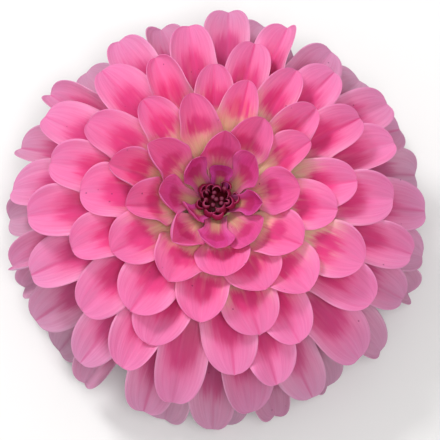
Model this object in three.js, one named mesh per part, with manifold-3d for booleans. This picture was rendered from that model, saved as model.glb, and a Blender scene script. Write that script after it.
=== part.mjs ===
// Dahlia bloom, one double flower head as picked, lying face up on its back petals.
// Millimetres, +Z up, the flower's own axis is Z.
import * as THREE from "three";
import Module from "manifold-3d";

// Whole bloom
const BLOOM_RADIUS = 64;
const PETAL_COUNT = 102;
const RIM_PETAL = 60;
const RIM_HEIGHT = 27;
const DOME_HEIGHT = 25;
const GOLDEN_ANGLE = 137.5;
const FIRST_ANGLE = 66;
const TIP_SPREAD = 5.4;
const LEAST_REACH = 3.8;
const RESTING_SHARE = 1.12;
const PINCHED_SIDE = 75;
const REACH_SEED = 16019;
const TURN_SEED = 24648;

// Petals
const PETAL_WIDTH = 18.2;
const PETAL_THICKNESS = 0.7;
const POINTS_ACROSS = 5;
const BACK_POINTS_ACROSS = 3;
const PLAINER_PETAL = 48;
const PETAL_STATIONS = [0.52, 0.8, 0.94, 1];

// Receptacle hidden under the petals
const CORE_RADIUS = 38;
const CORE_MID_HEIGHT = 24;
const CORE_RISE = 14;
const CORE_DROP = 11;
const CORE_SIDES = 14;
const ROOT_DEPTH = 0.84;
const ROOT_SINK = 3.5;

// Dark centre of unopened florets
const FIT_GAP = 0.3;
const SEAT_RADIUS = 5.1;
const SEAT_HEIGHT = 36;
const SEAT_LIP = 1.8;
const FREE_ROOM = [[6.9, 4.4], [7.2, 7.4]];
const FLORET_COUNT = 24;
const FLORET_SPREAD = 0.9;
const FLORET_RADIUS = 0.95;
const FLORET_LENGTH = 6;
const FLORET_SIDES = 5;
const BUTTON_THICKNESS = 1.6;

// Green underside
const STEM_RADIUS = 3.4;
const STEM_BORE = 1.6;
const STEM_FOOT = 1.2;
const STEM_SIDES = 16;
const COLLAR_RADIUS = 6.4;
const COLLAR_TOP = 12.4;
const COLLAR_BOTTOM = 9.4;
const INNER_BRACTS = 8;
const INNER_BRACT_WIDTH = 8;
const INNER_BRACT_TIP = [19, 7];
const OUTER_BRACTS = 5;
const OUTER_BRACT_WIDTH = 6.4;
const OUTER_BRACT_TIP = [17, 2.2];
const BRACT_STATIONS = [0, 0.4, 0.78, 1];

const wasm = await Module();
wasm.setup();

const radians = (degrees) => (degrees * Math.PI) / 180;

// Small repeatable irregularity from -1 to 1, one value per petal and trait
function wobble(n, trait) {
  const v = Math.sin(n * 12.9898 + trait * 78.233) * 43758.5453;
  return 2 * (v - Math.floor(v)) - 1;
}

function solidFrom(positions, triangles) {
  return new wasm.Manifold(new wasm.Mesh({
    numProp: 3,
    vertProperties: new Float32Array(positions),
    triVerts: new Uint32Array(triangles),
  }));
}

function geometryFrom(solid) {
  const mesh = solid.getMesh();
  const geometry = new THREE.BufferGeometry();
  geometry.setAttribute("position", new THREE.BufferAttribute(Float32Array.from(mesh.vertProperties), 3));
  geometry.setIndex(new THREE.BufferAttribute(Uint32Array.from(mesh.triVerts), 1));
  return geometry;
}

// Solid of revolution about Z from a closed [radius, height] profile that runs up its outer side
function turned(profile, sides) {
  const positions = [];
  const triangles = [];
  const rings = profile.map(([radius, height]) => {
    if (radius === 0) {
      positions.push(0, 0, height);
      return [positions.length / 3 - 1];
    }
    const ring = [];
    for (let i = 0; i < sides; i += 1) {
      const a = (2 * Math.PI * i) / sides;
      ring.push(positions.length / 3);
      positions.push(radius * Math.cos(a), radius * Math.sin(a), height);
    }
    return ring;
  });
  const join = (low, high) => {
    for (let i = 0; i < sides; i += 1) {
      const j = (i + 1) % sides;
      const a = low[i % low.length];
      const b = low[j % low.length];
      const c = high[j % high.length];
      const d = high[i % high.length];
      if (a !== b) {
        triangles.push(a, b, c);
      }
      if (c !== d) {
        triangles.push(a, c, d);
      }
    }
  };
  for (let i = 0; i + 1 < rings.length; i += 1) {
    join(rings[i], rings[i + 1]);
  }
  if (rings[0].length > 1) {
    join(rings[rings.length - 1], rings[0]);
  }
  return solidFrom(positions, triangles);
}

// Petals are numbered from the youngest, 0, to the oldest. A share s runs from 0 at the root to 1 at
// the tip, and u from -1 to 1 across.
// Direction of petal n round the axis: the golden angle, with the youngest turned a little further
function petalAngle(n) {
  const turn = 9 * Math.exp(-n / 8) + (4 + 6 * Math.exp(-n / 10)) * wobble(n, TURN_SEED);
  return radians(FIRST_ANGLE + GOLDEN_ANGLE * n + turn);
}

// Which side of the bloom a petal of the middle rows is on, from 1 to -1
function lopsided(n) {
  const middleRows = (1 - Math.exp(-((n / 16) ** 2))) * Math.exp(-((n / 42) ** 4));
  return Math.cos(petalAngle(n) - radians(PINCHED_SIDE)) * middleRows;
}

// The middle rows on one side are folded more tightly than the rest, from 0 to 1
function pinched(n) {
  return Math.max(0, lopsided(n));
}

// Where petal n ends, as distance from the axis and height: a dome, then down past the rim to the table
function petalTip(n) {
  const reach = (TIP_SPREAD * (n + 2) ** 0.6) / BLOOM_RADIUS;
  if (reach < 1) {
    const dip = 8 * Math.exp(-n / 4);
    return [BLOOM_RADIUS * reach, RIM_HEIGHT + DOME_HEIGHT * Math.sqrt(1 - reach * reach) - dip];
  }
  const t = Math.max(0, (n - RIM_PETAL) / (PETAL_COUNT - 1 - RIM_PETAL));
  return [BLOOM_RADIUS * (1 + 0.1 * t * (1 - t) - 0.02 * t * t), RIM_HEIGHT * (1 - RESTING_SHARE * t)];
}

// Where petal n leaves the receptacle
function petalBase(n) {
  const f = n / PETAL_COUNT;
  return [6 + 6 * f ** 0.6, 39.5 - 24.5 * f ** 0.8];
}

// Midline of petal n in its own upright plane, as four control points of a Bezier curve
function petalMidline(n) {
  const [r0, z0] = petalBase(n);
  const [tipR, tipZ] = petalTip(n);
  const r1 = Math.max(r0 + LEAST_REACH, tipR * (1 + (0.022 + 0.26 * Math.exp(-n / 8)) * wobble(n, REACH_SEED)));
  const z1 = Math.max(0, tipZ + 1.2 * wobble(n, 3));
  const direct = Math.atan2(z1 - z0, r1 - r0);
  const outward = Math.min(1, n / RIM_PETAL);
  const below = Math.max(0, (n - RIM_PETAL) / (PETAL_COUNT - RIM_PETAL));
  const early = Math.exp(-n / 12);
  const start = direct + radians(32 + 3 * outward + 6 * below - 50 * early + 4 * wobble(n, 4));
  const end = direct + radians(-25 - 5 * outward - 6 * below + 48 * early + 8 * wobble(n, 5));
  const length = Math.hypot(r1 - r0, z1 - z0);
  return [
    [r0, z0],
    [r0 + 0.48 * length * Math.cos(start), z0 + 0.48 * length * Math.sin(start)],
    [r1 - 0.4 * length * Math.cos(end), z1 - 0.4 * length * Math.sin(end)],
    [r1, z1],
  ];
}

function onCurve(points, t) {
  const weights = [(1 - t) ** 3, 3 * (1 - t) ** 2 * t, 3 * (1 - t) * t * t, t ** 3];
  return [0, 1].map((k) => points.reduce((sum, p, i) => sum + weights[i] * p[k], 0));
}

// Upward unit normal of the midline
function curveNormal(points, t) {
  const before = onCurve(points, Math.max(0, t - 0.01));
  const after = onCurve(points, Math.min(1, t + 0.01));
  const length = Math.hypot(after[0] - before[0], after[1] - before[1]);
  return [-(after[1] - before[1]) / length, (after[0] - before[0]) / length];
}

function petalWidth(n) {
  const grown = 1 - 0.62 * Math.exp(-n / 7);
  return PETAL_WIDTH * grown * (1 - 0.17 * lopsided(n)) * (1 + 0.06 * wobble(n, 6));
}

// Half width of petal n at station s: a narrow claw that widens, then a rounded end
function petalHalfWidth(n, s) {
  const young = Math.exp(-n / 7);
  const claw = 0.32 + 0.45 * young;
  const grow = THREE.MathUtils.smoothstep(s, 0.1, 0.66 - 0.24 * young);
  const shoulder = 0.58 + 0.18 * Math.min(1, n / 30) - 0.08 * pinched(n);
  const toTip = THREE.MathUtils.clamp((s - shoulder) / (1 - shoulder), 0, 1);
  const roundness = 0.48 - 0.14 * young + 0.08 * pinched(n) + 0.05 * wobble(n, 14);
  return 0.5 * petalWidth(n) * (claw + (1 - claw) * grow) * Math.max(0, 1 - toTip ** 2.4) ** roundness;
}

// How far the margins of petal n are turned up at station s, as a share of the half width
function petalFold(n, s) {
  const young = Math.exp(-n / 12);
  const uneven = 0.16 * wobble(n, 7) + 0.8 * Math.max(0, wobble(n, 7) - 0.6);
  const turnedUp = 0.47 - 0.19 * young + 0.3 * pinched(n) + uneven;
  return turnedUp * (young + (1 - young) * THREE.MathUtils.smoothstep(s, 0.4, 0.75));
}

// Point of petal n at station s, u from -1 to 1 across, lifted along the local normal. The petal is
// cupped, ripe ones are creased along the middle towards the tip, and young ones end like a spoon
function petalPoint(n, midline, s, u, lift) {
  const [r, z] = onCurve(midline, s);
  const [nr, nz] = curveNormal(midline, s);
  const half = petalHalfWidth(n, s);
  const side = Math.abs(u);
  const fold = petalFold(n, s) * (1 + 0.35 * wobble(n, 10) * Math.tanh(4 * u));
  const ripe = 1 - Math.exp(-((n / 14) ** 2));
  const crease = (0.6 + 0.25 * pinched(n) + 0.2 * wobble(n, 13)) * ripe;
  const creased = crease * THREE.MathUtils.smoothstep(s, 0.35, 0.75);
  const rise = half * fold * ((1 - creased) * side ** 2.4 + creased * side * (1.3 - 0.3 * side ** 2));
  const slope = Math.sign(u) * fold * ((1 - creased) * 2.4 * side ** 1.4 + creased * (1.3 - 0.9 * side ** 2));
  const normalLength = Math.hypot(1, slope);
  const across = (half * u) / (1 + 0.7 * fold ** 2 * side ** 2) - (lift * slope) / normalLength;
  const spooned = 0.12 * Math.exp(-n / 16) * petalWidth(n) * Math.max(0, (s - 0.5) / 0.5) ** 2;
  const lean = rise + lift / normalLength + 0.06 * wobble(n, 8) * across + spooned;
  const twist = radians(8 * wobble(n, 9)) * s;
  const x = across * Math.cos(twist) - lean * Math.sin(twist) + 1.6 * wobble(n, 15) * s * s;
  const y = across * Math.sin(twist) + lean * Math.cos(twist);
  const along = r + nr * y;
  const sunk = ROOT_SINK * (1 - n / PETAL_COUNT) * (1 - THREE.MathUtils.smoothstep(s, 0, 0.12));
  const angle = petalAngle(n);
  const lowest = lift > 0 ? PETAL_THICKNESS : 0;
  return [
    along * Math.cos(angle) - x * Math.sin(angle),
    along * Math.sin(angle) + x * Math.cos(angle),
    Math.max(lowest, z + nz * y - sunk),
  ];
}

// Closed blade over stations and points across, the last station a single point at the tip
function blade(stations, across, pointAt) {
  const positions = [];
  const triangles = [];
  const half = PETAL_THICKNESS / 2;
  const faces = [half, -half].map((lift) => stations.map((s, row) => {
    const tip = row === stations.length - 1;
    const count = tip ? 1 : across;
    return Array.from({ length: count }, (unused, i) => {
      const u = tip ? 0 : (2 * i) / (across - 1) - 1;
      positions.push(...pointAt(s, u, lift));
      return positions.length / 3 - 1;
    });
  }));
  const [top, under] = faces;
  const quad = (a, b, c, d) => triangles.push(a, b, c, a, c, d);
  for (let row = 0; row + 1 < stations.length; row += 1) {
    const last = row + 2 === stations.length;
    for (let i = 0; i + 1 < across; i += 1) {
      if (last) {
        triangles.push(top[row][i], top[row + 1][0], top[row][i + 1]);
        triangles.push(under[row][i], under[row][i + 1], under[row + 1][0]);
      } else {
        quad(top[row][i], top[row + 1][i], top[row + 1][i + 1], top[row][i + 1]);
        quad(under[row][i], under[row][i + 1], under[row + 1][i + 1], under[row + 1][i]);
      }
    }
    const lowEnd = last ? 0 : across - 1;
    quad(top[row][0], under[row][0], under[row + 1][0], top[row + 1][0]);
    quad(top[row][across - 1], top[row + 1][lowEnd], under[row + 1][lowEnd], under[row][across - 1]);
  }
  for (let i = 0; i + 1 < across; i += 1) {
    quad(top[0][i], top[0][i + 1], under[0][i + 1], under[0][i]);
  }
  return solidFrom(positions, triangles);
}

function insideCore(r, z, share) {
  const height = z > CORE_MID_HEIGHT ? CORE_RISE : CORE_DROP;
  return Math.hypot(r / CORE_RADIUS, (z - CORE_MID_HEIGHT) / height) < share;
}

// One petal, its root sunk in the receptacle
function petal(n) {
  const midline = petalMidline(n);
  let root = 0;
  while (root < 0.45 && insideCore(...onCurve(midline, root + 0.02), ROOT_DEPTH)) {
    root += 0.02;
  }
  const stations = PETAL_STATIONS.filter((s) => s > root + 0.1);
  const across = n < PLAINER_PETAL ? POINTS_ACROSS : BACK_POINTS_ACROSS;
  return blade([root, ...stations], across, (s, u, lift) => petalPoint(n, midline, s, u, lift));
}

// Receptacle: flattened egg with a round seat on top for the dark centre
function receptacle() {
  const profile = [[0, CORE_MID_HEIGHT - CORE_DROP]];
  const steps = 4;
  for (let i = 1; i < steps; i += 1) {
    const a = radians(-90 + (90 * i) / steps);
    profile.push([CORE_RADIUS * Math.cos(a), CORE_MID_HEIGHT + CORE_DROP * Math.sin(a)]);
  }
  for (let i = 0; i < steps; i += 1) {
    const a = radians((80 * i) / (steps - 1));
    profile.push([CORE_RADIUS * Math.cos(a), CORE_MID_HEIGHT + CORE_RISE * Math.sin(a)]);
  }
  profile.push([SEAT_RADIUS + FIT_GAP, SEAT_HEIGHT + SEAT_LIP]);
  profile.push([SEAT_RADIUS + FIT_GAP, SEAT_HEIGHT]);
  profile.push([0, SEAT_HEIGHT]);
  return turned(profile, CORE_SIDES);
}

// All petals and the receptacle as one solid, with room cut free for the florets above the seat
function rayPetals() {
  const petals = Array.from({ length: PETAL_COUNT }, (unused, n) => petal(n));
  const room = FREE_ROOM.map(([radius, rise]) => [radius, SEAT_HEIGHT + rise]);
  const seatClearance = turned([
    [0, SEAT_HEIGHT],
    [SEAT_RADIUS + FIT_GAP, SEAT_HEIGHT],
    [SEAT_RADIUS + FIT_GAP, SEAT_HEIGHT + SEAT_LIP],
    ...room,
    [0, room[room.length - 1][1]],
  ], CORE_SIDES);
  return wasm.Manifold.union([receptacle(), ...petals]).subtract(seatClearance);
}

// Dark centre: rolled florets in a spiral, standing on one button
function centreFlorets() {
  const foot = SEAT_HEIGHT + FIT_GAP;
  let solid = turned([
    [0, foot],
    [SEAT_RADIUS, foot],
    [SEAT_RADIUS, foot + 1],
    [SEAT_RADIUS - 1.6, foot + BUTTON_THICKNESS],
    [0, foot + BUTTON_THICKNESS + 0.6],
  ], CORE_SIDES);
  for (let k = 0; k < FLORET_COUNT; k += 1) {
    const distance = FLORET_SPREAD * Math.sqrt(k);
    const angle = radians(FIRST_ANGLE - GOLDEN_ANGLE * (k + 1));
    const length = FLORET_LENGTH * (0.72 + 0.28 * (k / FLORET_COUNT));
    const radius = FLORET_RADIUS * (0.6 + 0.4 * (k / FLORET_COUNT));
    const bud = turned([
      [0, 0],
      [radius * 0.6, 0],
      [radius, 0.62 * length],
      [radius * 0.8, 0.86 * length],
      [0, length],
    ], FLORET_SIDES).rotate([0, 3 + 1.6 * distance, (angle * 180) / Math.PI]);
    solid = solid.add(bud.translate([
      distance * Math.cos(angle),
      distance * Math.sin(angle),
      foot + 0.5,
    ]));
  }
  return solid;
}

// One green leaf of the collar: direction, start and end as [radius, height], full width and bow
function bract(direction, from, to, width, bow) {
  const midline = [
    from,
    [from[0] + 0.4 * (to[0] - from[0]), from[1] + bow],
    [from[0] + 0.75 * (to[0] - from[0]), to[1] + 0.6 * bow],
    to,
  ];
  const angle = radians(direction);
  return blade(BRACT_STATIONS, BACK_POINTS_ACROSS, (s, u, lift) => {
    const [r, z] = onCurve(midline, s);
    const [nr, nz] = curveNormal(midline, s);
    const half = 0.5 * width * (0.55 + 0.9 * s - 1.15 * s * s);
    const rise = lift - 0.12 * width * u * u * (1 - s);
    const x = half * u;
    const along = r + nr * rise;
    return [
      along * Math.cos(angle) - x * Math.sin(angle),
      along * Math.sin(angle) + x * Math.cos(angle),
      z + nz * rise,
    ];
  });
}

// Green collar under the head: papery inner bracts over fleshy outer ones, on a ring round the stem
function bracts() {
  const bore = STEM_RADIUS + FIT_GAP;
  const ring = turned([
    [bore, COLLAR_BOTTOM],
    [COLLAR_RADIUS - 1, COLLAR_BOTTOM],
    [COLLAR_RADIUS, COLLAR_TOP - 0.6],
    [COLLAR_RADIUS - 0.6, COLLAR_TOP],
    [bore, COLLAR_TOP],
  ], CORE_SIDES);
  const leaves = [];
  for (let i = 0; i < INNER_BRACTS; i += 1) {
    leaves.push(bract((360 * i) / INNER_BRACTS, [5, COLLAR_TOP - 1], INNER_BRACT_TIP, INNER_BRACT_WIDTH, 0.4));
  }
  for (let i = 0; i < OUTER_BRACTS; i += 1) {
    const direction = 20 + (360 * i) / OUTER_BRACTS;
    leaves.push(bract(direction, [4.8, COLLAR_BOTTOM + 0.8], OUTER_BRACT_TIP, OUTER_BRACT_WIDTH, 0.8));
  }
  return wasm.Manifold.union([ring, ...leaves]);
}

// Hollow stub of the cut stem, flared where it meets the head
function stem() {
  return turned([
    [STEM_BORE, STEM_FOOT],
    [STEM_RADIUS, STEM_FOOT],
    [STEM_RADIUS, COLLAR_TOP],
    [STEM_BORE + 0.4, COLLAR_TOP],
    [STEM_BORE, COLLAR_TOP - 3],
  ], STEM_SIDES);
}

const MATERIALS = {
  ray_petals: { color: 0xe0609f, roughness: 0.6, metalness: 0 },
  centre_florets: { color: 0x5c1535, roughness: 0.55, metalness: 0 },
  bracts: { color: 0x7d9a4e, roughness: 0.6, metalness: 0 },
  stem: { color: 0x6f8f45, roughness: 0.5, metalness: 0 },
};

const bloom = new THREE.Group();
bloom.name = "dahlia_bloom";
const solids = {
  ray_petals: rayPetals(),
  centre_florets: centreFlorets(),
  bracts: bracts(),
  stem: stem(),
};
for (const [name, solid] of Object.entries(solids)) {
  const mesh = new THREE.Mesh(geometryFrom(solid), new THREE.MeshStandardMaterial(MATERIALS[name]));
  mesh.name = name;
  mesh.material.name = name;
  bloom.add(mesh);
}

// Stand the bloom with the middle of its box over the origin
const box = new THREE.Box3().setFromObject(bloom);
const middle = box.getCenter(new THREE.Vector3());
for (const mesh of bloom.children) {
  mesh.geometry.translate(-middle.x, -middle.y, -box.min.z);
}

export default bloom;
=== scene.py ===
# One dahlia bloom as picked, lying face up on its back petals, seen from above.
import math

import bpy
import numpy as np
from mathutils import Matrix, Vector


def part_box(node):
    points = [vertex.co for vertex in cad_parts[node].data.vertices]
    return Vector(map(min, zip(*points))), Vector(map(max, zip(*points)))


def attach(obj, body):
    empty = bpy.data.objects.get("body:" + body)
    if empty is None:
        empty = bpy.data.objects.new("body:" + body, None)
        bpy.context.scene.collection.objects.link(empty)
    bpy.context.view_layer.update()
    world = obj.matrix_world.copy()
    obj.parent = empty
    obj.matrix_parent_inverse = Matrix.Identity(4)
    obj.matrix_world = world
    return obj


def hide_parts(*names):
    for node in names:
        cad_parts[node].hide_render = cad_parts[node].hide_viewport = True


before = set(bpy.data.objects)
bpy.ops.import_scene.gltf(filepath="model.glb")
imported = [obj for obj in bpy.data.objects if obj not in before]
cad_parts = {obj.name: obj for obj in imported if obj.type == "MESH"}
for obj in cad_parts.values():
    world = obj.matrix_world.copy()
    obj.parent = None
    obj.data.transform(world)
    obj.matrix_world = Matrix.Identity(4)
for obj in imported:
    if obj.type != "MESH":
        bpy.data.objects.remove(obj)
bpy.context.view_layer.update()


# Camera: a long lens looking almost straight down on the bloom, from the side that the
# photograph shows at the bottom. The view is 137 mm wide where the bloom is widest.
MM = 0.001
CAMERA_RISE = math.radians(76)
VIEW_WIDTH = 137.0 * MM
VIEW_CENTRE = Vector((1.2, -3.4, 27)) * MM
stem_low, stem_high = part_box("stem")
AXIS = Vector(((stem_low.x + stem_high.x) / 2, (stem_low.y + stem_high.y) / 2, 0))
camera_data = bpy.data.cameras.new("camera")
camera_data.lens = 150
camera_data.sensor_width = 36
camera_data.clip_start = 0.01
camera = bpy.data.objects.new("camera", camera_data)
bpy.context.scene.collection.objects.link(camera)
towards_camera = Vector((0, -math.cos(CAMERA_RISE), math.sin(CAMERA_RISE)))
distance = VIEW_WIDTH / camera_data.sensor_width * camera_data.lens
camera.location = AXIS + VIEW_CENTRE + towards_camera * distance
camera.rotation_mode = "QUATERNION"
camera.rotation_quaternion = towards_camera.to_track_quat("Z", "Y")
bpy.context.scene.camera = camera
bpy.context.scene.view_settings.view_transform = "Standard"


# Receptacle: the fleshy cushion in the middle of the head that every petal and floret
# grows from. It is pale green and shows only between the claws of the petals and from below.
RECEPTACLE_PROFILE = [
    (3.9, 12.9), (9.6, 12.9), (12.2, 14.4), (13.0, 17.5), (11.6, 24.0), (8.4, 30.0), (6.0, 33.0),
    (4.6, 35.6),
]
SOFT_EDGE = math.radians(50)


def clear_selection():
    if bpy.context.object and bpy.context.object.mode != "OBJECT":
        bpy.ops.object.mode_set(mode="OBJECT")
    bpy.ops.object.select_all(action="DESELECT")


def drawn_up(name, profile, sides, tube=False):
    """A ring raised through a profile of (radius, height) in mm by extruding and scaling it. The
    profile of a solid starts with its flat underside. A tube's runs from its inner wall round to
    its inner wall again, and its two open ends are bridged."""
    clear_selection()
    radius, height = profile[0]
    bpy.ops.mesh.primitive_circle_add(
        vertices=sides, radius=radius * MM, fill_type="NOTHING" if tube else "NGON",
        location=(0, 0, height * MM),
    )
    made = bpy.context.object
    made.name = name
    bpy.ops.object.mode_set(mode="EDIT")
    bpy.ops.mesh.select_all(action="SELECT")
    extrude = bpy.ops.mesh.extrude_edges_move if tube else bpy.ops.mesh.extrude_region_move
    for next_radius, next_height in profile[1:]:
        extrude(TRANSFORM_OT_translate={"value": (0, 0, (next_height - height) * MM)})
        scale = next_radius / radius
        bpy.ops.transform.resize(
            value=(scale, scale, 1), center_override=(0, 0, next_height * MM))
        radius, height = next_radius, next_height
    bpy.ops.mesh.select_all(action="SELECT")
    bpy.ops.mesh.normals_make_consistent(inside=False)
    if tube:
        bpy.ops.mesh.select_all(action="DESELECT")
        bpy.ops.mesh.select_non_manifold()
        bpy.ops.mesh.bridge_edge_loops()
        bpy.ops.mesh.select_all(action="SELECT")
        bpy.ops.mesh.normals_make_consistent(inside=False)
    bpy.ops.object.mode_set(mode="OBJECT")
    return made


def settle(piece):
    """Leaves the object at the origin, unturned and unscaled, with its place in its mesh."""
    clear_selection()
    piece.select_set(True)
    bpy.context.view_layer.objects.active = piece
    bpy.ops.object.transform_apply(location=True, rotation=True, scale=True)
    piece.data.transform(Matrix.Translation(AXIS))
    piece.data.update()


def linear(hex_colour):
    """sRGB hex to linear RGBA."""
    parts = [int(hex_colour[i:i + 2], 16) / 255 for i in (0, 2, 4)]
    return [p / 12.92 if p <= 0.04045 else ((p + 0.055) / 1.055) ** 2.4 for p in parts] + [1]


def add_node(tree, kind, settings=None, links=None):
    """Adds one node. Settings are its properties, the values of its inputs, or the stops of its
    ramp, each a position and a hex colour or a share of white. Links feed its inputs with the
    outputs of other nodes, and a node given whole feeds its first output."""
    made = tree.nodes.new(kind)
    for name, value in (settings or {}).items():
        if name == "stops":
            elements = made.color_ramp.elements
            while len(elements) < len(value):
                elements.new(0.5)
            for element, (position, colour) in zip(elements, value):
                element.position = position
                element.color = linear(colour) if isinstance(colour, str) else [colour] * 3 + [1]
        elif isinstance(name, int) or name in made.inputs:
            made.inputs[name].default_value = value
        else:
            setattr(made, name, value)
    for name, source in (links or {}).items():
        output = source.outputs[0] if isinstance(source, bpy.types.Node) else source
        tree.links.new(output, made.inputs[name])
    return made


def new_material(name, settings):
    material = bpy.data.materials.new(name)
    material.use_nodes = True
    shader = material.node_tree.nodes["Principled BSDF"]
    for socket, value in settings.items():
        shader.inputs[socket].default_value = value
    return material, material.node_tree, shader


# Fleshy plant cushion: matt and pale green, with fine mottling about 1 mm across
cushion, tree, shader = new_material("pale_green_plant_flesh", {"Roughness": 0.6})
place = add_node(tree, "ShaderNodeTexCoord").outputs["Object"]
mottle = add_node(
    tree, "ShaderNodeTexNoise", {"Scale": 900, "Detail": 4}, {"Vector": place}).outputs["Fac"]
green = add_node(
    tree, "ShaderNodeValToRGB", {"stops": [(0.35, "A9B27A"), (0.65, "CBD0A0")]}, {0: mottle})
tree.links.new(green.outputs[0], shader.inputs["Base Color"])

receptacle = drawn_up("receptacle", RECEPTACLE_PROFILE, 40)
settle(receptacle)
bpy.ops.object.shade_smooth_by_angle(angle=SOFT_EDGE)
receptacle.data.materials.append(cushion)
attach(receptacle, "root")
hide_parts("ray_petals")


# Ray petals: about a hundred soft pink strap petals, each a narrow pale claw that widens to a
# cupped, round-ended blade with a small point. They leave the receptacle one by one at the golden
# angle, the youngest innermost and steep, the oldest lowest and turned down to the table.

# Lengths are in mm and angles in degrees. Petals are numbered from the youngest, 0
PETAL_COUNT = 102
RIM_PETAL = 60
BLOOM_RADIUS = 64
RIM_HEIGHT = 27
DOME_HEIGHT = 25
CENTRE_DIP = 8
GOLDEN_ANGLE = 137.5
FIRST_ANGLE = 66
TIP_SPREAD = 5.4
LEAST_REACH = 3.8
RESTING_SHARE = 1.12
ROOT_RADIUS = 6
ROOT_SPREAD = 6
ROOT_HEIGHT = 39.5
ROOT_FALL = 24.5
REACH_SEED = 16019
TURN_SEED = 24648
PINCHED_SIDE = 75
BARE_SIDE = -35
PETAL_WIDTH = 18.2
PETAL_THICKNESS = 0.3
THINNEST_SHARE = 0.35
PETAL_FACES_ACROSS = 20
PETAL_FACES_ALONG = 40
MIDRIB_FURROW = 0.3
SIDE_RIDGE = 0.16
OUTER_FURROW = 0.1
MARGIN_WAVE = 0.55
SIDEWAYS_LEAN = 1.6
POINT_LENGTH = 1.1
ROOT_SUNK_IN = 3
ROOT_SUNK_DOWN = 3.5


def wobble(n, trait):
    """Small repeatable irregularity from -1 to 1, one value per petal and trait."""
    v = math.sin(n * 12.9898 + trait * 78.233) * 43758.5453
    return 2 * (v - math.floor(v)) - 1


def youth(n, span):
    """1 for the youngest petal, fading away over some span of petals."""
    return math.exp(-n / span)


def nearness(n, middle, span):
    """1 for the petal in the middle, fading away over some span of petals on either side."""
    return math.exp(-((n - middle) / span) ** 2)


def petal_angle(n):
    turn = 9 * youth(n, 8) + (4 + 6 * youth(n, 10)) * wobble(n, TURN_SEED)
    return math.radians(FIRST_ANGLE + GOLDEN_ANGLE * n + turn)


def lopsided(n):
    """Which side of the bloom a petal of the middle rows is on, from 1 to -1."""
    middle_rows = (1 - nearness(n, 0, 16)) * math.exp(-(n / 42) ** 4)
    return math.cos(petal_angle(n) - math.radians(PINCHED_SIDE)) * middle_rows


def pinched(n):
    """The middle rows on one side are folded more tightly than the rest."""
    return max(0, lopsided(n))


def bareness(n):
    """How far up the petal its pale claw reaches: most on the folded ones and those on their
    right, and some round the centre."""
    to_right = max(0, math.cos(petal_angle(n) - math.radians(BARE_SIDE))) * nearness(n, 34, 16)
    return max(pinched(n), 0.5 * nearness(n, 17, 11), 0.9 * to_right)


def crease_shade_strength(n):
    """How dark the painted shade along the crease is, most on the folded ones."""
    return min(1, max(0, 0.3 + 0.5 * pinched(n) + 0.4 * wobble(n, 13)))


def petal_tip(n):
    """Distance from the axis and height of a tip: down a dome, then under its rim to the table."""
    reach = TIP_SPREAD * (n + 2) ** 0.6 / BLOOM_RADIUS
    if reach < 1:
        dome = RIM_HEIGHT + DOME_HEIGHT * math.sqrt(1 - reach * reach)
        return BLOOM_RADIUS * reach, dome - CENTRE_DIP * youth(n, 4)
    t = max(0, (n - RIM_PETAL) / (PETAL_COUNT - 1 - RIM_PETAL))
    out = BLOOM_RADIUS * (1 + 0.1 * t * (1 - t) - 0.02 * t * t)
    return out, RIM_HEIGHT * (1 - RESTING_SHARE * t)


def petal_midline(n):
    """Four control points of the petal's midline, as distance from the axis and height in mm."""
    share = n / PETAL_COUNT
    base = np.array([
        ROOT_RADIUS + ROOT_SPREAD * share ** 0.6, ROOT_HEIGHT - ROOT_FALL * share ** 0.8])
    reach, height = petal_tip(n)
    reach *= 1 + (0.022 + 0.26 * youth(n, 8)) * wobble(n, REACH_SEED)
    tip = np.array([max(reach, base[0] + LEAST_REACH), max(0, height + 1.2 * wobble(n, 3))])
    run = tip - base
    direct = math.degrees(math.atan2(run[1], run[0]))
    outward = min(1, n / RIM_PETAL)
    below = max(0, (n - RIM_PETAL) / (PETAL_COUNT - RIM_PETAL))
    early = youth(n, 12)
    # It rises from its root above the straight run to its tip and comes down to the tip, the
    # more so in the older rows. The youngest bend the other way, outwards and then up
    start = math.radians(direct + 32 + 3 * outward + 6 * below - 50 * early + 4 * wobble(n, 4))
    end = math.radians(direct - 25 - 5 * outward - 6 * below + 48 * early + 8 * wobble(n, 5))
    length = math.hypot(*run)
    return [
        base,
        base + 0.48 * length * np.array([math.cos(start), math.sin(start)]),
        tip - 0.4 * length * np.array([math.cos(end), math.sin(end)]),
        tip,
    ]


def curve(controls, s):
    """Points of a curve with four control points, and its direction at each of them."""
    p0, p1, p2, p3 = controls
    t = s[:, None]
    middle = (1 - t) ** 3 * p0 + 3 * (1 - t) ** 2 * t * p1 + 3 * (1 - t) * t * t * p2 + t ** 3 * p3
    along = 3 * (1 - t) ** 2 * (p1 - p0) + 6 * (1 - t) * t * (p2 - p1) + 3 * t * t * (p3 - p2)
    return middle, along / np.linalg.norm(along, axis=1)[:, None]


def turned_out(r, x, z, angle):
    """Points at distance r from the axis in the direction of the angle, x to the side, z high."""
    return np.stack([
        r * math.cos(angle) - x * math.sin(angle),
        r * math.sin(angle) + x * math.cos(angle),
        z,
    ], axis=1)


def smooth_rise(value, low, high):
    t = np.clip((value - low) / (high - low), 0, 1)
    return t * t * (3 - 2 * t)


def petal_width(n):
    """Narrower on the young ones and on the pinched side."""
    for_side = 1 - 0.17 * lopsided(n)
    return PETAL_WIDTH * (1 - 0.62 * youth(n, 7)) * for_side * (1 + 0.06 * wobble(n, 6))


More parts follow.
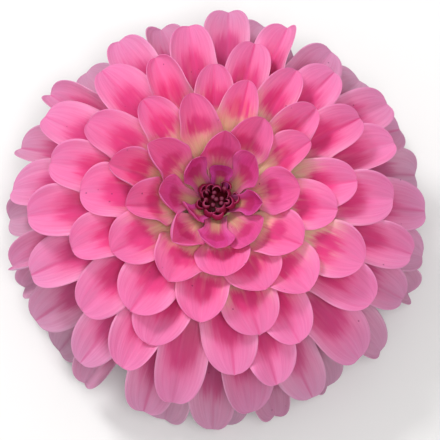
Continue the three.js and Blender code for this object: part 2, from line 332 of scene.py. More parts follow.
def petal_half_width(n, s):
    """From a narrow claw to a broad shoulder and a round end."""
    young = youth(n, 7)
    claw = 0.32 + 0.45 * young
    shoulder = 0.58 + 0.18 * min(1, n / 30) - 0.08 * pinched(n)
    to_tip = np.clip((s - shoulder) / (1 - shoulder), 0, 1)
    widened = claw + (1 - claw) * smooth_rise(s, 0.1, 0.66 - 0.24 * young)
    roundness = 0.48 - 0.14 * young + 0.08 * pinched(n) + 0.05 * wobble(n, 14)
    return 0.5 * petal_width(n) * widened * np.maximum(0.0004, 1 - to_tip ** 2.4) ** roundness


def petal_fold(n, s):
    """How far the margins are turned up, as a share of the half width."""
    young = youth(n, 12)
    turned_up = 0.47 - 0.19 * young + 0.3 * pinched(n)
    turned_up = turned_up + 0.16 * wobble(n, 7) + 0.8 * max(0, wobble(n, 7) - 0.6)
    return turned_up * (young + (1 - young) * smooth_rise(s, 0.4, 0.75))


def petal_surface(n, u, s):
    """Points of petal n in mm, for arrays of u from -1 to 1 across and s from 0 to 1 along."""
    middle, along = curve(petal_midline(n), s)
    half = petal_half_width(n, s)
    side = np.abs(u)
    ripe = 1 - nearness(n, 0, 14)

    # Margins turned up, in a round trough or on both sides of a crease
    fold = petal_fold(n, s) * (1 + 0.35 * wobble(n, 10) * np.tanh(4 * u))
    creased = smooth_rise(s, 0.35, 0.75) * (0.6 + 0.25 * pinched(n) + 0.2 * wobble(n, 13)) * ripe
    trough, valley = side ** 2.4, side * (1.3 - 0.3 * side ** 2)
    rise = half * fold * ((1 - creased) * trough + creased * valley)
    across = half * u / (1 + 0.7 * fold ** 2 * side ** 2)

    # A furrow on the midrib, a ridge and a furrow on either side of it, and waved margins
    size = np.minimum(1, half / 8)
    body = smooth_rise(s, 0.1, 0.35) * (1 - 0.5 * smooth_rise(s, 0.8, 1))
    ribs = -MIDRIB_FURROW * np.exp(-(u / 0.1) ** 2)
    ribs = ribs + SIDE_RIDGE * np.exp(-((side - 0.36) / 0.13) ** 2)
    ribs = ribs - OUTER_FURROW * np.exp(-((side - 0.64) / 0.1) ** 2)
    phase = 2 * math.pi * (1.5 * s + 0.5 * wobble(n, 11))
    wave = np.sin(phase + 1.3 * np.sign(u) * wobble(n, 12))
    margin = side ** 3 * smooth_rise(s, 0.3, 0.7)
    rise = rise + size * body * ribs + MARGIN_WAVE * size * margin * wave

    # A spooned end on the young ones, a slant, a twist and a lean to one side
    spooned = 0.12 * youth(n, 16) * petal_width(n) * np.clip((s - 0.5) / 0.5, 0, 1) ** 2
    rise = rise + 0.06 * wobble(n, 8) * across + spooned
    twist = np.radians(8 * wobble(n, 9)) * s
    lean = SIDEWAYS_LEAN * wobble(n, 15) * s ** 2
    x = across * np.cos(twist) - rise * np.sin(twist) + lean
    y = across * np.sin(twist) + rise * np.cos(twist)

    # A small point at the tip, and a root sunk into the receptacle
    point = POINT_LENGTH * ripe * size * np.exp(-(u / 0.2) ** 2) * smooth_rise(s, 0.92, 1)
    sunk = 1 - smooth_rise(s, 0, 0.12)
    r = middle[:, 0] - along[:, 1] * y + along[:, 0] * point - ROOT_SUNK_IN * sunk
    z = middle[:, 1] + along[:, 0] * y + along[:, 1] * point
    z = z - ROOT_SUNK_DOWN * (1 - n / PETAL_COUNT) * sunk
    return turned_out(r, x, np.maximum(z, PETAL_THICKNESS), petal_angle(n))


# Each petal is laid under those above it: the ceiling holds how low they reach, in cells of
# half a millimetre
CELL = 0.5
CELLS = 400
OPEN_ABOVE = 99.0
CLEARANCE = 0.35
MOST_PRESSED = 7
SPREADING_ROUNDS = 10
ceiling = np.full((CELLS, CELLS), OPEN_ABOVE)


def cells(points):
    return tuple(
        np.clip(np.rint(points[:, axis] / CELL + CELLS // 2), 0, CELLS - 1).astype(int)
        for axis in (0, 1)
    )


def halved(grid):
    """The grid of points with one more between each two, lengthwise and crosswise."""
    for axis in (0, 1):
        grid = np.moveaxis(grid, axis, 0)
        closer = np.repeat(grid, 2, axis=0)[:-1]
        closer[1::2] = (grid[1:] + grid[:-1]) / 2
        grid = np.moveaxis(closer, 0, axis)
    return grid


def pressed_down(points, s, columns):
    """The petal's points, lowered where it would stand up through the petals laid before it."""
    over = points[:, 2] + PETAL_THICKNESS + CLEARANCE - ceiling[cells(points)]
    over = (np.clip(over, 0, MOST_PRESSED) * smooth_rise(s, 0.3, 0.5)).reshape(-1, columns)
    lowered = over
    for _ in range(SPREADING_ROUNDS):
        padded = np.pad(lowered, 1, mode="edge")
        around = (padded[:-2, 1:-1] + padded[2:, 1:-1] + padded[1:-1, :-2] + padded[1:-1, 2:]) / 4
        lowered = np.maximum(over, around)
    points[:, 2] = np.maximum(points[:, 2] - lowered.ravel(), PETAL_THICKNESS)
    dense = halved(halved(points.reshape(-1, columns, 3))).reshape(-1, 3)
    np.minimum.at(ceiling, cells(dense), dense[:, 2])
    return points


def blade_blank(name, across, along, map_name):
    """Flat blade of unit size, with u and s of its points and its map: u across, s from root to
    tip, closer together near the tip. Its group wall is 1 in the middle and fades to the margins,
    where a blade is thinner."""
    clear_selection()
    bpy.ops.mesh.primitive_grid_add(
        x_subdivisions=across, y_subdivisions=along, size=2, calc_uvs=True)
    made = bpy.context.object
    made.name = name
    flat = np.array([v.co[:2] for v in made.data.vertices])
    u = -flat[:, 0]
    s = 1 - (1 - (flat[:, 1] + 1) / 2) ** 1.35
    layer = made.data.uv_layers[0]
    layer.name = map_name
    for loop in made.data.loops:
        layer.data[loop.index].uv = ((u[loop.vertex_index] + 1) / 2, s[loop.vertex_index])
    made.data.polygons.foreach_set("use_smooth", [True] * len(made.data.polygons))
    wall = made.vertex_groups.new(name="wall")
    for index, weight in enumerate((1 - u ** 6) * (1 - s ** 12)):
        wall.add([index], weight, "REPLACE")
    return made, u, s


def formed_copy(blank, name, points, facts):
    """A copy of the blank with its own mesh, its points in mm, and a number per fact on each."""
    made = blank.copy()
    made.data = blank.data.copy()
    made.name = name
    bpy.context.scene.collection.objects.link(made)
    made.data.vertices.foreach_set("co", (points * MM).ravel())
    for fact, value in facts.items():
        attribute = made.data.attributes.new(fact, "FLOAT", "POINT")
        attribute.data.foreach_set("value", [value] * len(made.data.vertices))
    return made


def joined(name, members, thickness, materials):
    """The members as one piece with a wall, thin at the margins. A second material is for its
    underside."""
    clear_selection()
    for member in members:
        member.select_set(True)
    bpy.context.view_layer.objects.active = members[0]
    bpy.ops.object.join()
    piece = bpy.context.object
    piece.name = name
    piece.data.name = name
    piece.data.materials.clear()
    for material in materials:
        piece.data.materials.append(material)
    wall = piece.modifiers.new("wall", "SOLIDIFY")
    wall.thickness = thickness * MM
    wall.offset = -1
    wall.material_offset = len(materials) - 1
    wall.vertex_group = "wall"
    wall.thickness_vertex_group = THINNEST_SHARE
    wall.use_quality_normals = True
    bpy.ops.object.modifier_apply(modifier=wall.name)
    settle(piece)
    return piece


RISING = {"interpolation_type": "SMOOTHSTEP", "To Min": 0.0, "To Max": 1.0}
FALLING = {"interpolation_type": "SMOOTHSTEP", "To Min": 1.0, "To Max": 0.0}
TIMES = {"operation": "MULTIPLY"}
TIMES_AND_ADD = {"operation": "MULTIPLY_ADD"}
TAKEN_FROM_ONE = {"operation": "SUBTRACT", 0: 1.0}
COLOUR_MIX = {"data_type": "RGBA"}


def blade_map(tree, map_name):
    """The map of a blade, its two parts across and along, and how far off the midrib a point is,
    from 0 to 1."""
    uv = add_node(tree, "ShaderNodeUVMap", {"uv_map": map_name})
    parts = add_node(tree, "ShaderNodeSeparateXYZ", links={0: uv})
    centred = add_node(
        tree, "ShaderNodeMath", {**TIMES_AND_ADD, 1: 2, 2: -1}, {0: parts.outputs["X"]})
    off_rib = add_node(tree, "ShaderNodeMath", {"operation": "ABSOLUTE"}, {0: centred})
    return uv, parts.outputs["X"], parts.outputs["Y"], off_rib


def petal_skin(name, colours, vein_depth):
    """Living petal skin: dull satin, thin enough for light to glow in it. Its colours run across
    the rows of the bloom, from the claw to the tip and from the midrib to the margins."""
    material, tree, shader = new_material(name, {
        "Roughness": 0.65, "Specular IOR Level": 0.1, "Subsurface Weight": 0.4,
        "Subsurface Radius": (1.0, 0.5, 0.65), "Subsurface Scale": 0.0015,
    })
    _, across, along, off_rib = blade_map(tree, "petal")
    row, tone, bare, crease = [
        add_node(tree, "ShaderNodeAttribute", {"attribute_name": fact}).outputs["Fac"]
        for fact in ("row", "tone", "bare", "crease")
    ]
    tints = {
        part: add_node(tree, "ShaderNodeValToRGB", {"stops": stops}, {0: row})
        for part, stops in colours.items()
    }

    # Streaks about 2 mm wide and veins about 0.6 mm apart run lengthwise on a petal 17 mm wide,
    # in other places on each petal
    elsewhere = add_node(tree, "ShaderNodeMath", {**TIMES, 1: 37.0}, {0: tone})
    spot = add_node(
        tree, "ShaderNodeCombineXYZ", links={"X": across, "Y": along, "Z": elsewhere})
    drawn_out = add_node(tree, "ShaderNodeMapping", {"Scale": (10, 2.4, 1)}, {"Vector": spot})
    streak = add_node(
        tree, "ShaderNodeTexNoise", {"Scale": 1.0, "Detail": 5, "Roughness": 0.68},
        {"Vector": drawn_out}).outputs["Fac"]
    finer = add_node(tree, "ShaderNodeMapping", {"Scale": (30, 3.0, 1)}, {"Vector": spot})
    vein = add_node(
        tree, "ShaderNodeTexNoise", {"Scale": 1.0, "Detail": 2, "Roughness": 0.5},
        {"Vector": finer}).outputs["Fac"]

    # Margins are paler than the middle, partly their own colour and partly painted light where the
    # turned-up margins catch it. Tips are violet on the youngest petals and greyer on the oldest,
    # the grey partly their own colour and partly painted shade
    ragged_rib = add_node(
        tree, "ShaderNodeMath", {**TIMES_AND_ADD, 1: 0.5}, {0: streak, 2: off_rib})
    margin = add_node(
        tree, "ShaderNodeMapRange", {**RISING, "From Min": 0.55, "From Max": 1.3},
        {"Value": ragged_rib})
    tip = add_node(
        tree, "ShaderNodeMapRange", {**RISING, "From Min": 0.72, "From Max": 0.98},
        {"Value": along})

    # A deep pink patch with ragged ends lies along the middle of each petal, where it comes out
    # from under the petals above: partly the petal's own deeper pink and partly painted shade cast
    # by those petals. On the young ones it reaches down to the base
    younger = add_node(
        tree, "ShaderNodeMapRange", {"From Min": 0, "From Max": 0.2, "To Min": 1, "To Max": 0},
        {"Value": row})
    grown = add_node(
        tree, "ShaderNodeMath", {**TIMES_AND_ADD, 1: 0.3}, {0: younger, 2: along})
    later = add_node(
        tree, "ShaderNodeMath", {**TIMES_AND_ADD, 1: -0.12}, {0: bare, 2: grown})
    above_claw = add_node(
        tree, "ShaderNodeMapRange", {**RISING, "From Min": 0.42, "From Max": 0.66},
        {"Value": later})
    below_tip = add_node(
        tree, "ShaderNodeMapRange", {**FALLING, "From Min": 0.68, "From Max": 0.96},
        {"Value": grown})
    off_margin = add_node(
        tree, "ShaderNodeMapRange", {**FALLING, "From Min": 0.05, "From Max": 1.0},
        {"Value": off_rib})
    window = add_node(
        tree, "ShaderNodeMath", {"operation": "MAXIMUM"}, {0: younger, 1: above_claw})
    for share in (below_tip, off_margin):
        window = add_node(tree, "ShaderNodeMath", TIMES, {0: window, 1: share})
    ragged = add_node(
        tree, "ShaderNodeMath", {**TIMES_AND_ADD, 1: 1.2}, {0: streak, 2: window})
    deep_patch_and_shade = add_node(
        tree, "ShaderNodeMapRange", {**RISING, "From Min": 0.78, "From Max": 1.38},
        {"Value": ragged})
    inside = add_node(
        tree, "ShaderNodeMapRange", {**RISING, "From Min": 0, "From Max": 0.3},
        {"Value": window})
    deep_patch_and_shade = add_node(tree, "ShaderNodeMath", TIMES, {0: deep_patch_and_shade, 1: inside})

    # The claw is greenish cream and gives way to pink in ragged streaks. It covers neither the
    # margins of the young petals nor the patch of the older ones
    ragged = add_node(
        tree, "ShaderNodeMath", {**TIMES_AND_ADD, 1: 0.3}, {0: streak, 2: grown})
    ragged = add_node(
        tree, "ShaderNodeMath", {**TIMES_AND_ADD, 1: -0.36}, {0: bare, 2: ragged})
    claw = add_node(
        tree, "ShaderNodeMapRange", {**FALLING, "From Min": 0.36, "From Max": 0.72},
        {"Value": ragged})
    at_sides = add_node(
        tree, "ShaderNodeMapRange", {**RISING, "From Min": 0.2, "From Max": 0.6},
        {"Value": off_rib})
    older = add_node(tree, "ShaderNodeMath", TAKEN_FROM_ONE, {1: younger})
    for where, which in ((younger, at_sides), (deep_patch_and_shade, older)):
        hidden = add_node(tree, "ShaderNodeMath", TIMES, {0: where, 1: which})
        left = add_node(tree, "ShaderNodeMath", TAKEN_FROM_ONE, {1: hidden})
        claw = add_node(tree, "ShaderNodeMath", TIMES, {0: claw, 1: left})

    # Two or three pale streaks some 2 mm wide run on from the claw towards the middle of the
    # petal, plainest in the rows near the centre
    wider = add_node(tree, "ShaderNodeMapping", {"Scale": (8, 0.9, 1.7)}, {"Vector": spot})
    stripe = add_node(
        tree, "ShaderNodeTexNoise", {"Scale": 1.0, "Detail": 2, "Roughness": 0.4},
        {"Vector": wider}).outputs["Fac"]
    stripe = add_node(
        tree, "ShaderNodeMapRange", {**RISING, "From Min": 0.52, "From Max": 0.68},
        {"Value": stripe})
    near_claw = add_node(
        tree, "ShaderNodeMapRange", {**FALLING, "From Min": 0.5, "From Max": 0.86},
        {"Value": later})
    strength = add_node(
        tree, "ShaderNodeValToRGB",
        {"stops": [(0.03, 0.05), (0.18, 0.36), (0.5, 0.2), (1, 0.04)]}, {0: row})
    for share in (near_claw, strength):
        stripe = add_node(tree, "ShaderNodeMath", TIMES, {0: stripe, 1: share})

    # The veins are a little deeper in colour. The crease to the tip gets a line of painted shade
    # about 1 mm wide, strong on some petals
    fine = add_node(
        tree, "ShaderNodeMapRange", {**RISING, "From Min": 0.42, "From Max": 0.62},
        {"Value": vein})
    fine = add_node(tree, "ShaderNodeMath", {**TIMES, 1: 0.17}, {0: fine})
    crease_shade_line = add_node(
        tree, "ShaderNodeMapRange", {**FALLING, "From Min": 0.0, "From Max": 0.13},
        {"Value": off_rib})
    outer_half = add_node(
        tree, "ShaderNodeMapRange", {**RISING, "From Min": 0.45, "From Max": 0.8},
        {"Value": along})
    for share in (outer_half, crease):
        crease_shade_line = add_node(tree, "ShaderNodeMath", TIMES, {0: crease_shade_line, 1: share})

    # Each marking lies over those before it
    blade = tints["main"]
    for share, part in (
        (margin, "margin"), (tip, "tip"), (deep_patch_and_shade, "deep_pink_and_shade"), (claw, "claw"), (stripe, "streak"),
        (fine, "deep_pink_and_shade"), (crease_shade_line, "deep_pink_and_shade"),
    ):
        blade = add_node(
            tree, "ShaderNodeMix", COLOUR_MIX, {0: share, 6: blade, 7: tints[part]}).outputs[2]

    # Small dark specks about 0.5 mm across are strewn over the petals some 6 mm apart
    place = add_node(tree, "ShaderNodeTexCoord").outputs["Object"]
    speck = add_node(
        tree, "ShaderNodeTexVoronoi", {"Scale": 160}, {"Vector": place}).outputs["Distance"]
    speck = add_node(
        tree, "ShaderNodeMapRange", {**FALLING, "From Min": 0.02, "From Max": 0.06},
        {"Value": speck})
    speck = add_node(tree, "ShaderNodeMath", {**TIMES, 1: 0.6}, {0: speck})
    blade = add_node(
        tree, "ShaderNodeMix", {**COLOUR_MIX, 7: linear("5A2040")}, {0: speck, 6: blade})

    # Petals differ a little in depth of colour, and each is paler and darker in streaks
    depth = add_node(
        tree, "ShaderNodeMapRange",
        {"From Min": -1, "From Max": 1, "To Min": 0.8, "To Max": 0.9}, {"Value": tone})
    depth = add_node(
        tree, "ShaderNodeMath", {**TIMES_AND_ADD, 1: 0.28}, {0: streak, 2: depth})
    blade = add_node(
        tree, "ShaderNodeHueSaturation", links={"Color": blade.outputs[2], "Value": depth})
    tree.links.new(blade.outputs[0], shader.inputs["Base Color"])

    # Streaks and veins stand out of the skin by up to 0.3 mm
    ribbing = add_node(
        tree, "ShaderNodeMath", {**TIMES_AND_ADD, 1: 0.5}, {0: vein, 2: streak})
    relief = add_node(
        tree, "ShaderNodeBump", {"Strength": vein_depth, "Distance": 0.3 * MM},
        {"Height": ribbing})
    tree.links.new(relief.outputs[0], shader.inputs["Normal"])
    return material


# The upper skin is a clear pink. The under skin shows where margins turn up and on the back:
# it is duller and more violet, and its veins stand out more
# On the outer rows the main and margin colours turn greyer and more lavender: partly the older
# petals' own colour and partly painted shade on the back petals
upper_skin = petal_skin("pink_petal_upper_skin", {
    "main": [(0, "B83080"), (0.05, "DC4894"), (0.14, "FA6CA2"), (0.5, "FA74A8"),
             (0.64, "EA7AA6"), (0.8, "DA94B2"), (1, "D8A8BE")],
    "margin": [(0, "CC4A9C"), (0.07, "F068A8"), (0.18, "FF8CBA"), (0.5, "FF98C2"),
               (0.64, "F09ABE"), (0.8, "E2A6C0"), (1, "DEB4C8")],
    "tip": [(0, "BC3C92"), (0.04, "D84C92"), (0.1, "F06CA4"), (0.5, "EC82B2"),
            (0.64, "D48AB0"), (0.8, "CA94B0"), (1, "BE90A8")],
    # The deep colours serve the deeper pink patch and veins, and also the painted shade under the
    # petals above and along the crease
    "deep_pink_and_shade": [(0, "A82860"), (0.08, "D03C7A"), (0.2, "E84686"), (0.4, "E44484"),
             (0.62, "CE4C84"), (1, "AE688A")],
    "streak": [(0, "D09484"), (0.15, "FCBCA8"), (0.4, "FFB4B8"), (1, "E8B4C4")],
    "claw": [(0, "B89468"), (0.12, "FCCCA0"), (0.35, "FFD8B4"), (1, "E4CCB8")],
}, 0.4)
under_skin = petal_skin("pink_petal_under_skin", {
    "main": [(0, "B85A92"), (0.2, "D67BAA"), (0.6, "D489B2"), (1, "C48FB0")],
    "margin": [(0, "D8609C"), (0.2, "EE8CB8"), (0.6, "DDA3C6"), (1, "CFA0BF")],
    "tip": [(0, "D8609C"), (0.2, "EC88B4"), (0.6, "D99FC2"), (1, "CB9DBB")],
    "deep_pink_and_shade": [(0, "A04A80"), (0.3, "C274A2"), (1, "BE90B0")],
    "streak": [(0, "B890A0"), (1, "D8B8C4")],
    "claw": [(0, "A8A070"), (0.4, "CFC79E"), (1, "CDC8A6")],
}, 0.8)

petal_blank, petal_u, petal_s = blade_blank(
    "petal_blank", PETAL_FACES_ACROSS, PETAL_FACES_ALONG, "petal")
PETAL_ROWS = {
    "young_petals": range(0, 10),
    "crown_petals": range(10, 34),
    "shoulder_petals": range(34, RIM_PETAL),
    "rim_petals": range(RIM_PETAL, 82),
    "back_petals": range(82, PETAL_COUNT),
}
for row_name, row_numbers in PETAL_ROWS.items():
    petals = []
    for n in row_numbers:
        points = pressed_down(
            petal_surface(n, petal_u, petal_s), petal_s, PETAL_FACES_ACROSS + 1)
        petals.append(formed_copy(petal_blank, f"{row_name}_{n}", points, {
            "row": n / PETAL_COUNT, "tone": wobble(n, 20), "bare": bareness(n),
            "crease": crease_shade_strength(n)}))
    row_piece = joined(row_name, petals, PETAL_THICKNESS, [upper_skin, under_skin])
    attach(row_piece, "root")
    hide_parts("ray_petals")
bpy.data.objects.remove(petal_blank)


# Dark centre: the youngest florets, maroon scoops rolled round themselves and open to the
# middle, with pale rims. The innermost are still closed buds. All stand on a small cushion.
SEAT_HEIGHT = 36.0
FLORET_COUNT = 24
FLORET_SPREAD = 0.98
FLORET_LENGTH = 4.9
FLORET_FACES = 16
BUD_GIRTH = 0.62
OPENED_GIRTH = 0.95
OPENING_AGE = (0.3, 0.62)

# Young floret skin: dark maroon with a dull sheen, redder in the throats, and a thin, paler lip.
# The dark red of the throats, which also covers the cushion between the florets, is partly their
# own colour and partly painted shade in those hollows.
# Mottles about 0.7 mm across break it up
maroon, tree, shader = new_material("maroon_floret_skin", {
    "Roughness": 0.42, "Specular IOR Level": 0.12, "Subsurface Weight": 0.1,
    "Subsurface Radius": (1.0, 0.3, 0.4), "Subsurface Scale": 0.0008,
})
_, _, along, off_rib = blade_map(tree, "floret")
age = add_node(tree, "ShaderNodeAttribute", {"attribute_name": "age"}).outputs["Fac"]
place = add_node(tree, "ShaderNodeTexCoord").outputs["Object"]
mottle = add_node(
    tree, "ShaderNodeTexNoise", {"Scale": 1400, "Detail": 3}, {"Vector": place}).outputs["Fac"]
opened = add_node(
    tree, "ShaderNodeMapRange",
    {**RISING, "From Min": OPENING_AGE[0], "From Max": OPENING_AGE[1]}, {"Value": age})
side_edge = add_node(tree, "ShaderNodeMath", TIMES, {0: off_rib, 1: opened})
edge = add_node(tree, "ShaderNodeMath", {"operation": "MAXIMUM"}, {0: side_edge, 1: along})
edge = add_node(tree, "ShaderNodeMath", {**TIMES_AND_ADD, 1: 0.2}, {0: mottle, 2: edge})
rim = add_node(
    tree, "ShaderNodeMapRange", {**RISING, "From Min": 0.92, "From Max": 1.12}, {"Value": edge})
above_throat = add_node(
    tree, "ShaderNodeMapRange", {**RISING, "From Min": 0.2, "From Max": 0.85}, {"Value": along})
dark_throat_and_shade, wall, lip = [
    add_node(tree, "ShaderNodeValToRGB", {"stops": stops}, {0: age}) for stops in (
        [(0, "540416"), (0.5, "64061A"), (1, "78102C")],
        [(0, "641028"), (0.35, "701030"), (0.7, "841640"), (1, "9C2050")],
        [(0, "7E3C54"), (0.35, "90405C"), (0.7, "C04878"), (1, "D85C94")],
    )
]
body = add_node(tree, "ShaderNodeMix", COLOUR_MIX, {0: above_throat, 6: dark_throat_and_shade, 7: wall})
skin = add_node(tree, "ShaderNodeMix", COLOUR_MIX, {0: rim, 6: body.outputs[2], 7: lip})
tree.links.new(skin.outputs[2], shader.inputs["Base Color"])
relief = add_node(
    tree, "ShaderNodeBump", {"Strength": 0.4, "Distance": 0.1 * MM}, {"Height": mottle})
tree.links.new(relief.outputs[0], shader.inputs["Normal"])


def floret_surface(k, u, s):
    """Points of floret k in mm: a scoop rolled round its own axis, its tip hooked over its
    opening."""
    age = k / FLORET_COUNT
    opened = float(smooth_rise(age, *OPENING_AGE))
    out = FLORET_SPREAD * math.sqrt(k) * (1 + 0.07 * wobble(k, 36))
    girth = BUD_GIRTH + OPENED_GIRTH * opened * (1 + 0.25 * wobble(k, 31))
    length = FLORET_LENGTH + 0.6 * age + 0.8 * wobble(k, 30)
    lean = math.radians(20 * age + 9 * wobble(k, 34))
    rolled = math.radians(178 - 66 * opened)
    closing = np.sqrt(np.maximum(0.003, 1 - (np.clip((s - 0.6) / 0.4, 0, 1)) ** 2))
    round_axis = u * rolled * (1 - opened + opened * closing)
    domed = np.sqrt(np.maximum(0.01, 1 - (np.clip((s - 0.78) / 0.22, 0, 1)) ** 2))
    narrowed = opened + (1 - opened) * domed
    wide = girth * (0.4 + 0.6 * smooth_rise(s, 0, 0.65)) * narrowed
    hook = opened * girth * smooth_rise(s, 0.5, 1) ** 1.5
    r = out + math.sin(lean) * length * s + wide * np.cos(round_axis) * math.cos(lean)
    r = r - hook - 0.4 * girth * opened
    z = math.cos(lean) * length * (s - 0.06 * smooth_rise(s, 0.7, 1))
    z = z - wide * np.cos(round_axis) * math.sin(lean)
    angle = math.radians(FIRST_ANGLE - GOLDEN_ANGLE * (k + 1) + 12 * wobble(k, 35))
    return turned_out(r, wide * np.sin(round_axis), SEAT_HEIGHT + 0.4 + z, angle)


floret_blank, floret_u, floret_s = blade_blank(
    "floret_blank", FLORET_FACES, FLORET_FACES, "floret")
florets = [
    formed_copy(
        floret_blank, f"floret_{k}", floret_surface(k, floret_u, floret_s),
        {"age": k / FLORET_COUNT})
    for k in range(FLORET_COUNT)
]
floret_cluster = joined("floret_cluster", florets, 0.16, [maroon])
bpy.data.objects.remove(floret_blank)

centre_cushion = drawn_up("centre_cushion", [
    (4.2, SEAT_HEIGHT - 0.4), (4.9, SEAT_HEIGHT), (4.8, SEAT_HEIGHT + 0.6),
    (3.6, SEAT_HEIGHT + 1.4), (1.2, SEAT_HEIGHT + 1.8),
], 32)
centre_cushion.data.materials.append(maroon)
settle(centre_cushion)
bpy.ops.object.shade_smooth_by_angle(angle=SOFT_EDGE)
for piece in (floret_cluster, centre_cushion):
    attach(piece, "root")
    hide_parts("centre_florets")


# Bracts: the green collar at the back of the head. Eight thin papery scales lie against the
# petals, and five fleshy green leaves stand below them, all grown from a ring round the stem.
COLLAR_TOP = 12.4
COLLAR_BOTTOM = 9.4
COLLAR_PROFILE = [
    (3.7, COLLAR_BOTTOM), (5.4, COLLAR_BOTTOM), (6.2, COLLAR_BOTTOM + 1.0),
    (6.4, COLLAR_TOP - 0.6), (5.8, COLLAR_TOP), (3.7, COLLAR_TOP),
]
SCALE_COUNT = 8
SCALE_WIDTH = 8
LEAF_COUNT = 5
LEAF_WIDTH = 6.4
FIRST_LEAF_ANGLE = 20


def bract_surface(direction, start, end, width, bow, u, s):
    """Points of one bract in mm, from start to end as (distance from the axis, height)."""
    start, end = np.array(start, float), np.array(end, float)
    second = np.array([start[0] + 0.4 * (end[0] - start[0]), start[1] + bow])
    third = np.array([start[0] + 0.75 * (end[0] - start[0]), end[1] + 0.6 * bow])
    middle, along = curve((start, second, third, end), s)
    widened = np.maximum(0.03, 0.55 + 0.9 * s - 1.4 * s * s)
    half = 0.5 * width * widened * np.sqrt(np.maximum(0.0004, 1 - s ** 6))
    rise = -0.12 * width * u * u * (1 - s) - 0.12 * np.exp(-(u / 0.12) ** 2)
    r = middle[:, 0] - along[:, 1] * rise
    z = middle[:, 1] + along[:, 0] * rise
    return turned_out(r, half * u, z, math.radians(direction))


def bract_skin(name, body, edge, vein_colour, roughness):
    """Skin of a bract, with lengthwise veins a little paler, some 0.3 mm wide, and a thin edge
    of another colour."""
    material, tree, shader = new_material(
        name, {"Roughness": roughness, "Specular IOR Level": 0.45})
    uv, _, _, off_rib = blade_map(tree, "leaf")
    drawn_out = add_node(tree, "ShaderNodeMapping", {"Scale": (22, 2, 1)}, {"Vector": uv})
    vein = add_node(
        tree, "ShaderNodeTexNoise", {"Scale": 1, "Detail": 3}, {"Vector": drawn_out}).outputs["Fac"]
    veined = add_node(
        tree, "ShaderNodeValToRGB", {"stops": [(0.4, body), (0.62, vein_colour)]}, {0: vein})
    rim = add_node(
        tree, "ShaderNodeMapRange", {**RISING, "From Min": 0.8, "From Max": 1.0},
        {"Value": off_rib})
    edged = add_node(
        tree, "ShaderNodeMix", {**COLOUR_MIX, 7: linear(edge)}, {0: rim, 6: veined})
    tree.links.new(edged.outputs[2], shader.inputs["Base Color"])
    relief = add_node(
        tree, "ShaderNodeBump", {"Strength": 0.5, "Distance": 0.2 * MM}, {"Height": vein})
    tree.links.new(relief.outputs[0], shader.inputs["Normal"])
    return material


# Scales are dry, matt and green-brown, with a browner edge. Leaves are waxy, with a soft shine
# and a paler green edge
papery = bract_skin("papery_green_brown_scale", "A7A567", "B99A6A", "BDB67C", 0.6)
fleshy = bract_skin("waxy_green_leaf", "5E8138", "83A057", "7C9A4E", 0.45)
leaf_blank, leaf_u, leaf_s = blade_blank("leaf_blank", 10, 20, "leaf")
inner_leaves = [
    formed_copy(leaf_blank, f"inner_{i}", bract_surface(
        360 * i / SCALE_COUNT, (5, COLLAR_TOP - 1), (19, COLLAR_TOP - 5.4),
        SCALE_WIDTH, 0.4, leaf_u, leaf_s), {})
    for i in range(SCALE_COUNT)
]
outer_leaves = [
    formed_copy(leaf_blank, f"outer_{i}", bract_surface(
        FIRST_LEAF_ANGLE + 360 * i / LEAF_COUNT, (4.8, COLLAR_BOTTOM + 0.8), (17, 2.2),
        LEAF_WIDTH, 0.8, leaf_u, leaf_s), {})
    for i in range(LEAF_COUNT)
]
inner_bracts = joined("inner_bracts", inner_leaves, 0.4, [papery])
outer_bracts = joined("outer_bracts", outer_leaves, 0.7, [fleshy])
bpy.data.objects.remove(leaf_blank)

# Stalk skin: smooth, softly shining green, with fibres about 0.7 mm wide running up it
green_flesh, tree, shader = new_material(
    "smooth_green_stalk", {"Roughness": 0.42, "Specular IOR Level": 0.5})
place = add_node(tree, "ShaderNodeTexCoord").outputs["Object"]
stretched = add_node(
    tree, "ShaderNodeMapping", {"Scale": (1500, 1500, 160)}, {"Vector": place})
fibre = add_node(
    tree, "ShaderNodeTexNoise", {"Scale": 1, "Detail": 3}, {"Vector": stretched}).outputs["Fac"]
green = add_node(
    tree, "ShaderNodeValToRGB", {"stops": [(0.35, "5F7E39"), (0.65, "86A257")]}, {0: fibre})
tree.links.new(green.outputs[0], shader.inputs["Base Color"])
relief = add_node(
    tree, "ShaderNodeBump", {"Strength": 0.4, "Distance": 0.2 * MM}, {"Height": fibre})
tree.links.new(relief.outputs[0], shader.inputs["Normal"])

collar = drawn_up("bract_collar", COLLAR_PROFILE, 36, tube=True)
collar.data.materials.append(green_flesh)
settle(collar)
bpy.ops.object.shade_smooth_by_angle(angle=SOFT_EDGE)
for piece in (inner_bracts, outer_bracts, collar):
    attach(piece, "root")
    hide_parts("bracts")


# Stem: the hollow green stalk that carries the head, up through the collar into the receptacle.
# It is cut short below the head, with soft ribs along it and a pale, moist ring at the cut.
STEM_FOOT = 1.2
STEM_PROFILE = [
    (1.7, 9.4), (1.6, STEM_FOOT + 0.15), (1.75, STEM_FOOT), (3.1, STEM_FOOT),
    (3.35, STEM_FOOT + 0.3), (3.4, 4.0), (3.36, 8.0), (3.4, COLLAR_TOP), (2.0, COLLAR_TOP),
]
STEM_RIBS = 12
stem = drawn_up("stem_stub", STEM_PROFILE, 48, tube=True)
for vertex in stem.data.vertices:
    if math.hypot(vertex.co.x, vertex.co.y) > 3.0 * MM:
        ribbed = 0.985 + 0.015 * math.cos(STEM_RIBS * math.atan2(vertex.co.y, vertex.co.x))
        vertex.co.x *= ribbed
        vertex.co.y *= ribbed

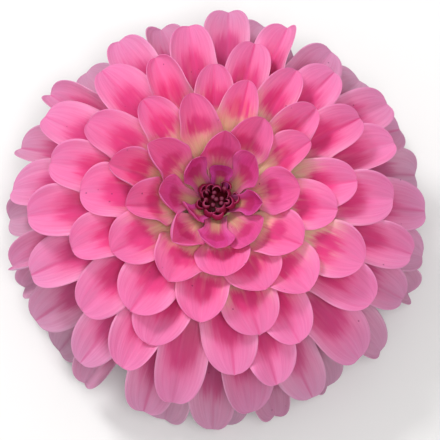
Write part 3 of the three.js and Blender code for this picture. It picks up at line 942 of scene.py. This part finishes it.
# Cut end: pale, moist flesh with cells about 0.4 mm wide
cut_flesh, tree, shader = new_material(
    "moist_cut_stalk", {"Roughness": 0.25, "Specular IOR Level": 0.5})
place = add_node(tree, "ShaderNodeTexCoord").outputs["Object"]
cell_walls = add_node(
    tree, "ShaderNodeTexVoronoi", {"Scale": 2600}, {"Vector": place}).outputs["Distance"]
flesh = add_node(
    tree, "ShaderNodeValToRGB", {"stops": [(0.1, "A9BC7A"), (0.5, "D6DDAE")]}, {0: cell_walls})
tree.links.new(flesh.outputs[0], shader.inputs["Base Color"])
stem.data.materials.append(green_flesh)
stem.data.materials.append(cut_flesh)
for face in stem.data.polygons:
    at_cut = face.center.z < (STEM_FOOT + 0.1) * MM
    if at_cut or math.hypot(face.center.x, face.center.y) < 2.2 * MM:
        face.material_index = 1
settle(stem)
bpy.ops.object.shade_smooth_by_angle(angle=math.radians(40))
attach(stem, "root")
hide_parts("stem")


# Table and studio light: a plain pale matt table, a soft window light high on the upper left, a
# weaker soft light from near the camera that fills the hollows, and a bright, even room.
clear_selection()
bpy.ops.mesh.primitive_plane_add(size=4, location=(0, 0, 0))
table_top = bpy.context.object
table_top.name = "table_top"
table_paint = new_material(
    "matt_white_table", {"Base Color": linear("F4F3F2"), "Roughness": 0.8})[0]
table_top.data.materials.append(table_paint)

room = bpy.data.worlds.new("room")
bpy.context.scene.world = room
room.use_nodes = True
room.node_tree.nodes["Background"].inputs["Color"].default_value = (1, 1, 1, 1)
room.node_tree.nodes["Background"].inputs["Strength"].default_value = 0.5


def soft_light(name, position, size, power):
    """A square lamp turned to the bloom, its place and size in metres and its power in watts."""
    data = bpy.data.lights.new(name, "AREA")
    data.energy = power
    data.size = size
    lamp = bpy.data.objects.new(name, data)
    bpy.context.scene.collection.objects.link(lamp)
    lamp.location = position
    lamp.rotation_mode = "QUATERNION"
    lamp.rotation_quaternion = (
        Vector(position) - Vector((0, 0, 0.03))).to_track_quat("Z", "Y")


soft_light("window_light", (-0.42, 0.56, 0.72), 0.26, 4.9)
soft_light("fill_light", (0.1, -0.26, 1.0), 0.4, 3.8)
